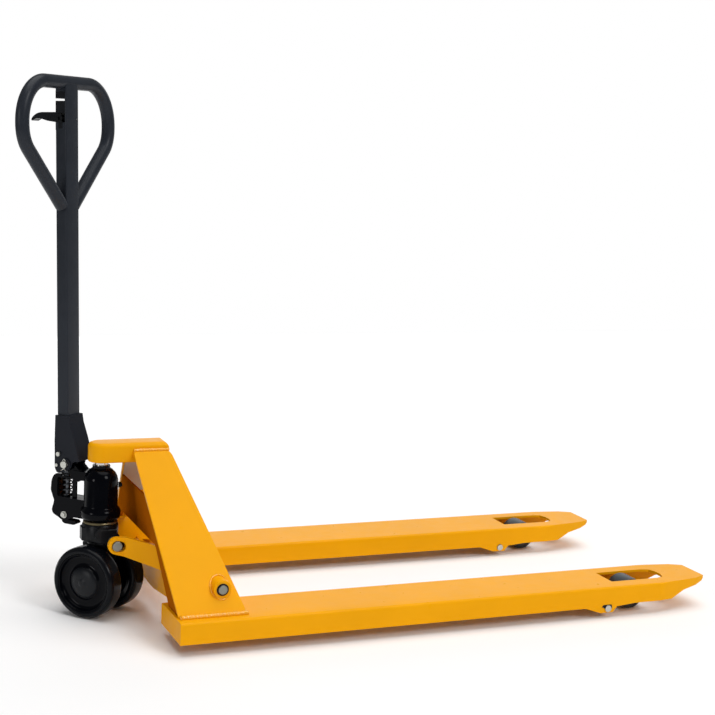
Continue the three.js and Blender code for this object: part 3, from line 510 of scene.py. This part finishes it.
# sections of (radius, distance out from the kingpin, corner radius)
TYRE_SECTION = [
    (66, 63.6, 0), (67.2, 64.4, 0.5), (68.6, 65.9, 0.9), (73.0, 66, 2), (80, 59, 9), (80, 28.4, 9),
    (74, 21.4, 4), (66, 21.4, 0), (66, 63.6, 0),
]
DISC_SECTION = [
    (22, 21, 0), (22, 57, 0), (31, 57, 1), (36, 56.4, 2), (40, 53.2, 3), (45, 52.4, 2), (56, 52.4, 3),
    (60.4, 56, 2.5), (62.4, 62.6, 1.2), (64.4, 63.4, 0.8), (65.7, 62.6, 0.6), (65.7, 25, 1), (54, 31, 3),
    (34, 31, 3), (30, 21, 1), (22, 21, 0),
]
DOME_SECTION = [
    (0, 66.0, 0), (6, 65.8, 2), (9.5, 64.4, 1.5), (11, 64.2, 0.6), (20, 63.4, 4), (28, 61.2, 4),
    (32.6, 58.8, 2), (34, 56.9, 0.5), (34, 56.7, 0), (21, 56.7, 0), (21, 60, 0), (0, 60, 0),
]
WHEEL_PLACE = HEAD @ Matrix.Translation((0, 0, middle("wheel_axle").z))


def turned(name, tag, section, mat, node):
    profile = mm((radius, SIDES[tag] * out) for radius, out in fillet(section))
    lathe(f"{name}_{tag}", profile, mat, f"wheel_{tag}", WHEEL_PLACE, 96, replaces=[f"{node}_{tag}"])


for tag in SIDES:
    turned("tyre_ring", tag, TYRE_SECTION, TYRE, "tyre")
    turned("wheel_disc", tag, DISC_SECTION, BLACK, "wheel_centre")
    turned("hub_dome", tag, DOME_SECTION, PLASTIC, "hub_cap")
    dress(f"wheel_bearing_{tag}", STEEL, 0.5, 1)

# ---- pump and axle carrier ----

dress("axle_carrier", CAST, 1.6, 3)
dress("wheel_axle", STEEL, 1.0, 2)
dress("pump_body", BLACK, 1.4, 3)
dress("oil_plug", BLACK, 0.6, 2)
dress("relief_plug_upper", BLACK, 0.6, 2)
dress("relief_plug_lower", BLACK, 0.6, 2)
dress("release_arm", BLACK, 1.0, 2)
dress("valve_screw", STEEL, 0.5, 2)
dress("pump_plunger", SPRING, 0.8, 2)

# The coil stops inside its bore, so that it still fits there when the plunger is pushed down.
SPRING_X, SPRING_LOW, SPRING_HIGH, SPRING_PITCH, SPRING_R = -0.090, 0.2505, 0.3056, 0.0116, 0.0106
SPRING_WIRE_R, SPRING_TURN_STEPS = 0.0017, 36


def coil():
    height = SPRING_HIGH - SPRING_LOW
    steps = round(height / SPRING_PITCH * SPRING_TURN_STEPS)
    pts = []
    for k in range(steps + 1):
        z = SPRING_HIGH - height * k / steps
        t = 2 * math.pi * (z - SPRING_HIGH) / SPRING_PITCH
        pts.append((SPRING_X + SPRING_R * math.cos(t), SPRING_R * math.sin(t), z))
    return pts


tube("return_spring", coil(), SPRING_WIRE_R, SPRING, "plunger", HEAD, sides=12, replaces=["plunger_spring"])

# ---- handle ----

dress("handle_bracket", CHARCOAL_DEEP, 1.4, 3)
dress("handle_pin", STEEL, 1.2, 2)
dress("cam_roller", STEEL, 1.0, 2)
dress("bracket_screw_near", STEEL, 0.6, 2)
dress("bracket_screw_far", STEEL, 0.6, 2)
dress("handle_post", CHARCOAL, 0.6, 2)
dress("lever_stop", PLASTIC, 0.8, 2)
dress("lever_guide", PLASTIC, 0.8, 2)
dress("release_lever", PLASTIC, 2.0, 4)
dress("lever_pin", PLASTIC, 0.6, 2)
dress("pull_rod", SPRING, 0.3, 1)

# One half of the grip loop: a straight leg, a knee, and a round shoulder up to the straight top bar,
# as (distance out from the middle, height above the handle's pin).
LEG_FOOT, LEG_TOP, KNEE, WIDE = (20, 571), (136, 694), (153, 714), (153, 746)
SHOULDER, SHOULDER_TOP, BAR_END = (154, 799), (116, 837), (78, 837)
KNEE_STEPS, SHOULDER_STEPS = 10, 22
LOOP_X, LOOP_R = -10, 0.01475


def bezier(controls, steps):
    """Points along a Bezier curve, without its last one."""
    order = len(controls) - 1
    out = []
    for k in range(steps):
        t = k / steps
        weights = [math.comb(order, i) * t ** i * (1 - t) ** (order - i) for i in range(order + 1)]
        out.append(tuple(sum(w * p[axis] for w, p in zip(weights, controls)) for axis in (0, 1)))
    return out


half_loop = [LEG_FOOT]
half_loop += bezier([LEG_TOP, KNEE, WIDE], KNEE_STEPS)
half_loop += bezier([WIDE, SHOULDER, SHOULDER_TOP, BAR_END], SHOULDER_STEPS)
half_loop.append(BAR_END)
loop = [(LOOP_X, -out, z) for out, z in half_loop]
loop += [(LOOP_X, out, z) for out, z in reversed(half_loop)]
tube("grip_loop", mm(loop), LOOP_R, CHARCOAL, "handle", HANDLE, sides=40, replaces=["handle_loop"])

# rib across the near side of the casting's window, between the spring and the barrel
block("window_rib", (-69, -12.5, 253), (-56.5, -8.7, 299), BLACK, "steer", HEAD, 0.001)

# Plates on both sides of the post's open top: covers round the lever, and a small one at its tail.
# Each is given by its ranges along X, outwards and up.
COVER_X, COVER_OUT = (-24.3, 0.2), (17.8, 21.4)
SIDE_BLOCKS = [
    ("stop_cover", COVER_X, COVER_OUT, (802, 819), PLASTIC),
    ("guide_cover", COVER_X, COVER_OUT, (771, 797), PLASTIC),
    ("slot_cheek", COVER_X, (17.8, 21.9), (734.6, 751), CHARCOAL),
    ("lever_tail", (-16.2, -6), (21.95, 22.6), (738, 754), PLASTIC),
]
SMALL_EDGE = 0.0003

for tag, side in SIDES.items():
    for name, x_range, out_range, z_range, mat in SIDE_BLOCKS:
        y_range = sorted(side * out for out in out_range)
        low, high = zip(x_range, y_range, z_range)
        block(f"{name}_{tag}", low, high, mat, "handle", HANDLE, SMALL_EDGE)
block("lever_rivet", (4.6, 12.5, 757.6), (5.3, 14.9, 760.0), STEEL, "handle", HANDLE, SMALL_EDGE)

# split pin through the near end of the handle pin: its eye, and its two bent tails
PIN_END_Y, EYE_WIRE_R, TAIL_WIRE_R = -31.5, 0.0011, 0.0010
EYE = [(0, 0), (0.5, 4), (3.2, 9.5), (0.2, 12.8), (-3, 9.5), (-0.5, 4)]
eye = mm((x, PIN_END_Y, z) for x, z in EYE)
tube("split_pin_eye", eye, EYE_WIRE_R, STEEL, "handle", HANDLE, sides=8, closed=True, sharp=80)
TAIL = [(0.15, PIN_END_Y, -5), (0.25, PIN_END_Y, -9), (1.1, -32.5, -12), (2.1, -34, -13)]
for tag, spread in (("a", -3.2), ("b", 3.2)):
    tail = mm((spread * x, y, z) for x, y, z in TAIL)
    tube(f"split_pin_tail_{tag}", tail, TAIL_WIRE_R, STEEL, "handle", HANDLE, sides=8, sharp=80)

# ---- small things on the frame ----

# pale patch on the far plate's inner face, above the cross panel: painted light, standing in for the light
# that face catches from the bright floor
LIT_PATCH = [(22, 236), (10, 291), (4, 339.5), (86, 339.5), (118, 240)]
LIT_PATCH_IN, LIT_PATCH_THICK = 11.05, 0.4
front = mm((x, plate_y(z) - LIT_PATCH_IN, z) for x, z in LIT_PATCH)
back = mm((x, plate_y(z) - LIT_PATCH_IN - LIT_PATCH_THICK, z) for x, z in LIT_PATCH)
loft("painted_light_patch", [front, back], PALE_PAINTED_LIGHT, "chassis")

# seal rings round the rocker pins, standing on the bosses, and dark plates at the leg pins that paint the
# shade in the notches there
SEAL_SECTION = [(10.5, 0), (13.2, 0), (13.2, 1.4), (12.6, 1.8), (10.5, 1.8), (10.5, 0)]
NOTCH_SHADE = [(-17, 4), (-12, 9), (9, 9), (11, 3), (7, -7.5), (-3, -8.5), (-6, 0)]
NOTCH_SHADE_FACES = (0.2, 0.9)
BOSS_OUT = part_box("tower_boss_far")[1].y
FORK_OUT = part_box("fork_far")[1].y

for tag, side in SIDES.items():
    boss = middle(f"tower_boss_{tag}")
    boss.y = side * BOSS_OUT
    section = mm((radius, side * out) for radius, out in SEAL_SECTION)
    lathe(f"pin_seal_{tag}", section, PLASTIC, "chassis", Matrix.Translation(boss), 48)
    leg_pin = middle(f"leg_pin_{tag}")
    leg_pin.y = side * FORK_OUT
    # thin black plates on the fork's outer face: painted shade of the notch round the leg pin
    notch_shade = [mm((x, side * out, z) for x, z in NOTCH_SHADE) for out in NOTCH_SHADE_FACES]
    loft(f"leg_pin_notch_shade_{tag}", notch_shade, PLASTIC, "chassis", Matrix.Translation(leg_pin))

# ---- floor ----

FLOOR_SIZE, FLOOR_DROP, FLOOR_SHADE = 9, 0.0005, 0.97

floor_mat = principled("pale_floor", (FLOOR_SHADE,) * 3, 0.8, specular=0.1)[0]
bpy.ops.mesh.primitive_plane_add(size=FLOOR_SIZE, location=(0, 0, -FLOOR_DROP))
floor = bpy.context.active_object
floor.name = "floor"
floor.data.materials.append(floor_mat)

# ---- light: a soft box, three suns, and a white backdrop that gives less light than it shows ----

AMBIENT, BACKDROP = 0.20, 1.0

scene.view_settings.view_transform = "Standard"
world = bpy.data.worlds.new("studio")
scene.world = world
world.use_nodes = True
sky = world.node_tree
ambient = sky.nodes["Background"]
backdrop = sky.nodes.new("ShaderNodeBackground")
for node, strength in ((ambient, AMBIENT), (backdrop, BACKDROP)):
    node.inputs["Color"].default_value = (1, 1, 1, 1)
    node.inputs["Strength"].default_value = strength
ray = sky.nodes.new("ShaderNodeLightPath")
choose = sky.nodes.new("ShaderNodeMixShader")
sky.links.new(ray.outputs["Is Camera Ray"], choose.inputs["Fac"])
sky.links.new(ambient.outputs["Background"], choose.inputs[1])
sky.links.new(backdrop.outputs["Background"], choose.inputs[2])
sky.links.new(choose.outputs["Shader"], sky.nodes["World Output"].inputs["Surface"])


def lamp(name, kind, energy):
    light = bpy.data.lights.new(name, kind)
    light.energy = energy
    obj = bpy.data.objects.new(name, light)
    scene.collection.objects.link(obj)
    return obj


def sun(name, toward, strength, spread):
    """Soft parallel light coming from the direction toward."""
    obj = lamp(name, "SUN", strength)
    obj.data.angle = math.radians(spread)
    obj.rotation_euler = Vector(toward).to_track_quat("Z", "Y").to_euler()


def panel(name, location, size, power):
    """Big soft box turned to the origin, seen only as light and in reflections."""
    obj = lamp(name, "AREA", power)
    obj.data.shape = "RECTANGLE"
    obj.data.size, obj.data.size_y = size
    obj.location = location
    obj.rotation_euler = (-Vector(location)).to_track_quat("-Z", "Y").to_euler()
    obj.visible_camera = False


panel("backlight", (2.2, 5.2, 1.9), (9.0, 3.0), 75)
sun("overhead", (0.15, 0.0, 1.0), 2.0, 60)
sun("key", (0.55, -1.0, 0.80), 0.88, 20)
sun("rim", (-1.0, -0.45, 0.22), 0.40, 14)

# ---- camera ----

YAW, PITCH, ROLL = (math.radians(d) for d in (22.88, 8.17, 2.59))
CAMERA_PLACE = (DRAWING_X - 0.7947, -3.1601, 1.0602)
LENS, SENSOR = 74.21, 36

ahead = Vector((math.sin(YAW) * math.cos(PITCH), math.cos(YAW) * math.cos(PITCH), -math.sin(PITCH)))
level = Vector((math.cos(YAW), -math.sin(YAW), 0))
upright = level.cross(ahead)
right = level * math.cos(ROLL) + upright * math.sin(ROLL)
up = upright * math.cos(ROLL) - level * math.sin(ROLL)
camera_data = bpy.data.cameras.new("camera")
camera_data.lens = LENS
camera_data.sensor_width = SENSOR
camera = bpy.data.objects.new("camera", camera_data)
scene.collection.objects.link(camera)
camera.matrix_world = Matrix.Translation(CAMERA_PLACE) @ Matrix((right, up, -ahead)).transposed().to_4x4()
scene.camera = camera
